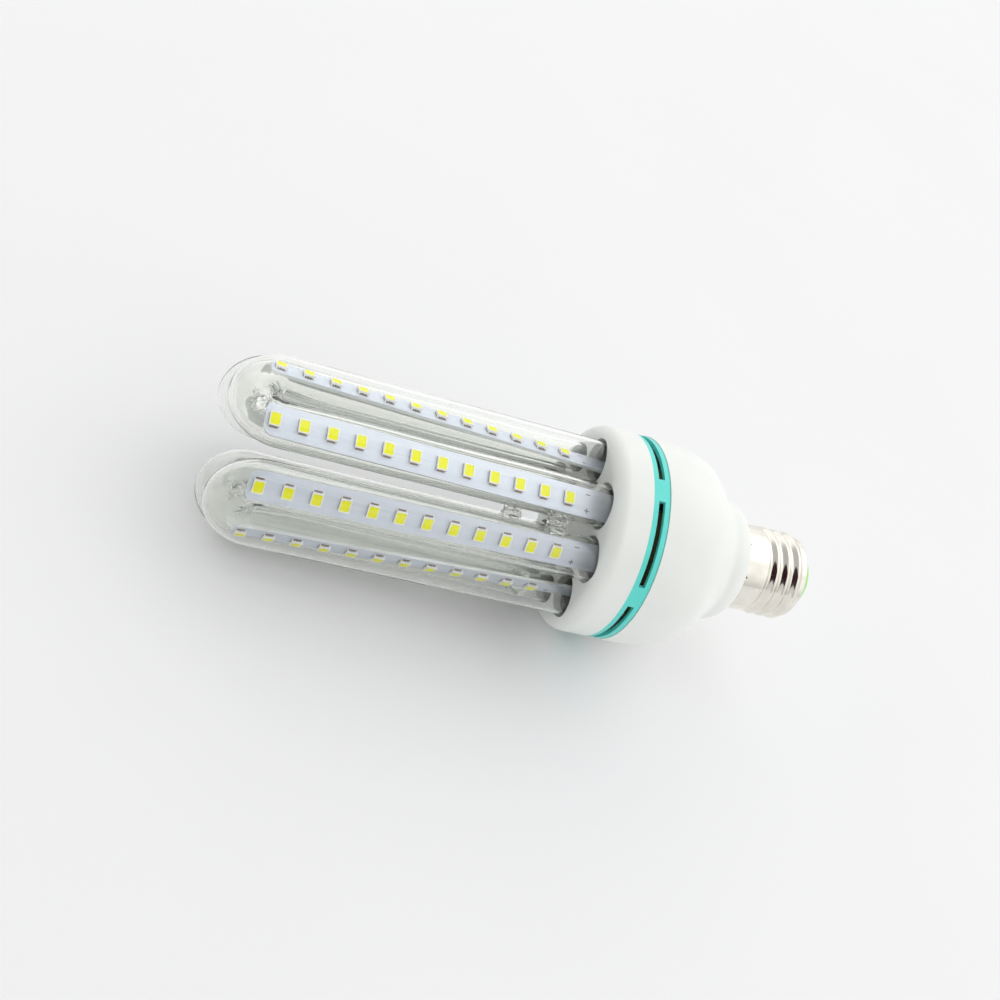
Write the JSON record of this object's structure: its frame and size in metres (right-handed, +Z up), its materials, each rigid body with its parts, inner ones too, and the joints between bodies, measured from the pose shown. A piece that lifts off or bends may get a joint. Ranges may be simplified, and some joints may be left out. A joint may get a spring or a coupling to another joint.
{
  "type": "led light bulb",
  "caption": "Screw-cap LED lamp with clear U-shaped glass tubes, light strips inside the tube legs, a slotted turquoise vent ring and a white domed driver housing.",
  "frame": {"origin": "middle of the lying lamp's length and width, on the surface it rests on", "axes": "+X along the lamp towards the screw cap, +Z up, -Y towards the front tube"},
  "size_m": [0.181, 0.06, 0.0609],
  "materials": {
    "housing_white": "satin moulded",
    "ring_turquoise": "satin moulded",
    "clear_glass": "clear",
    "cap_nickel": "nickel plated, rolled",
    "cap_green": "moulded",
    "contact_metal": "tinned",
    "strip_board": "white solder mask on aluminium",
    "led_white": "moulded",
    "led_yellow": "silicone with phosphor",
    "silicone": "cured bead",
    "board_fibre": "laminate",
    "film_red": "dipped",
    "can_sleeve": "shrunk sleeve",
    "ferrite": "sintered",
    "copper": "enamelled",
    "resistor_body": "lacquered",
    "chip_black": "moulded",
    "wire_red": "sleeved",
    "wire_black": "sleeved",
    "wire_white": "sleeved"
  },
  "bodies": {
    "root": {"tube_holder": "housing_white", "lower_housing": "housing_white", "vent_ring": "ring_turquoise", "u_tube_front": "clear_glass", "u_tube_top": "clear_glass", "u_tube_back": "clear_glass", "u_tube_bottom": "clear_glass", "glass_bridges": "clear_glass", "cap_shell": "cap_nickel", "cap_insulator": "cap_green", "cap_contact": "contact_metal", "led_strip_1": "strip_board", "led_strip_2": "strip_board", "led_strip_3": "strip_board", "led_strip_4": "strip_board", "led_strip_5": "strip_board", "led_strip_6": "strip_board", "led_strip_7": "strip_board", "led_strip_8": "strip_board", "led_bodies_1": "led_white", "led_bodies_2": "led_white", "led_bodies_3": "led_white", "led_bodies_4": "led_white", "led_bodies_5": "led_white", "led_bodies_6": "led_white", "led_bodies_7": "led_white", "led_bodies_8": "led_white", "led_windows_1": "led_yellow", "led_windows_2": "led_yellow", "led_windows_3": "led_yellow", "led_windows_4": "led_yellow", "led_windows_5": "led_yellow", "led_windows_6": "led_yellow", "led_windows_7": "led_yellow", "led_windows_8": "led_yellow", "tube_adhesive": "silicone", "driver_board": "board_fibre", "film_capacitor": "film_red", "electrolytic_capacitor": "can_sleeve", "inductor_core": "ferrite", "inductor_winding": "copper", "fuse_resistor": "resistor_body", "bridge_rectifier": "chip_black", "driver_chip": "chip_black", "sense_resistors": "chip_black", "live_wire": "wire_red", "neutral_wire": "wire_black", "strip_jumpers": "wire_white", "led_plus_wire": "wire_red", "led_minus_wire": "wire_black"}
  },
  "joints": []
}
